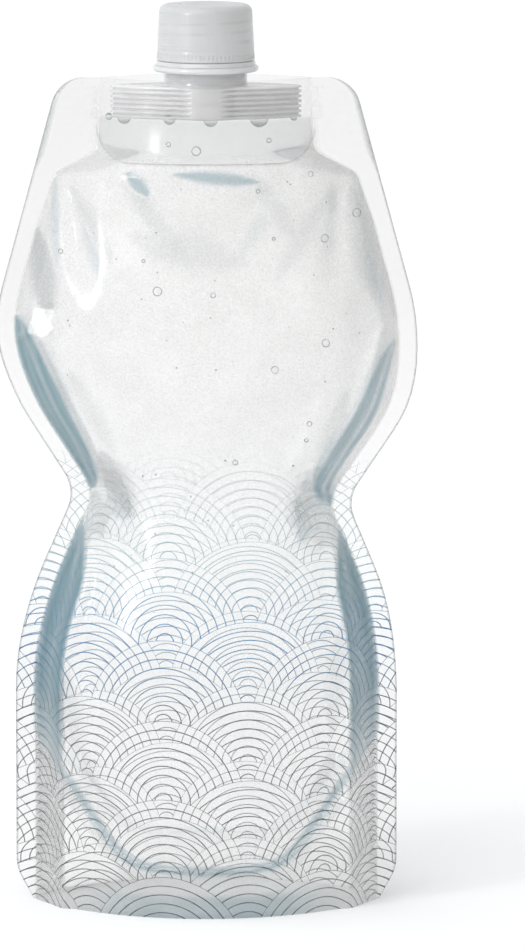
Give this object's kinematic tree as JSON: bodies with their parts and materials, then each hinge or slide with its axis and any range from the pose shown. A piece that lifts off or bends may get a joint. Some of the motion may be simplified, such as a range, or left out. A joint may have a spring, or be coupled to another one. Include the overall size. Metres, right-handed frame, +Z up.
{
  "type": "folding water bottle",
  "caption": "Flexible stand-up water bottle of clear welded film, with a ribbed spout, a screw cap that comes off, and walls that flatten as it empties.",
  "frame": {"origin": "middle of the base, on the floor the bottle stands on", "axes": "+Z up towards the cap, -Y towards the front panel, X across the width between the two side welds"},
  "size_m": [0.137, 0.0778, 0.2944],
  "materials": {
    "film": "clear glossy film, printed with fine arcs below the waist",
    "gusset_film": "clear glossy film",
    "spout_plastic": "translucent white, satin",
    "seal_foam": "white foam, matt",
    "cap_plastic": "translucent milky grey-white, satin"
  },
  "bodies": {
    "bottle": {"spout": "spout_plastic", "bottom_gusset": "gusset_film"},
    "front_wall": {"front_film": "film"},
    "back_wall": {"back_film": "film"},
    "seal": {"cap_seal": "seal_foam"},
    "cap": {"cap": "cap_plastic"}
  },
  "joints": [
    {"name": "front_wall_squeeze", "type": "slide", "parent": "bottle", "child": "front_wall", "axis": [0, 1, 0], "range_m": [0, 0.03], "deforming": ["front_film"]},
    {"name": "back_wall_squeeze", "type": "slide", "parent": "bottle", "child": "back_wall", "axis": [0, -1, 0], "range_m": [0, 0.03], "deforming": ["back_film"]},
    {"name": "cap_climb", "type": "slide", "parent": "bottle", "child": "seal", "axis": [0, 0, 1], "range_m": [0, 0.0256]},
    {"name": "cap_turn", "type": "hinge", "parent": "seal", "child": "cap", "pos_m": [0, 0, 0.285], "axis": [0, 0, -1], "range_deg": [-2880, 0]}
  ],
  "couplings": [
    {"joint": "back_wall_squeeze", "follows": "front_wall_squeeze", "ratio": 1},
    {"joint": "cap_climb", "follows": "cap_turn", "m_per_rad": -0.0005093}
  ]
}
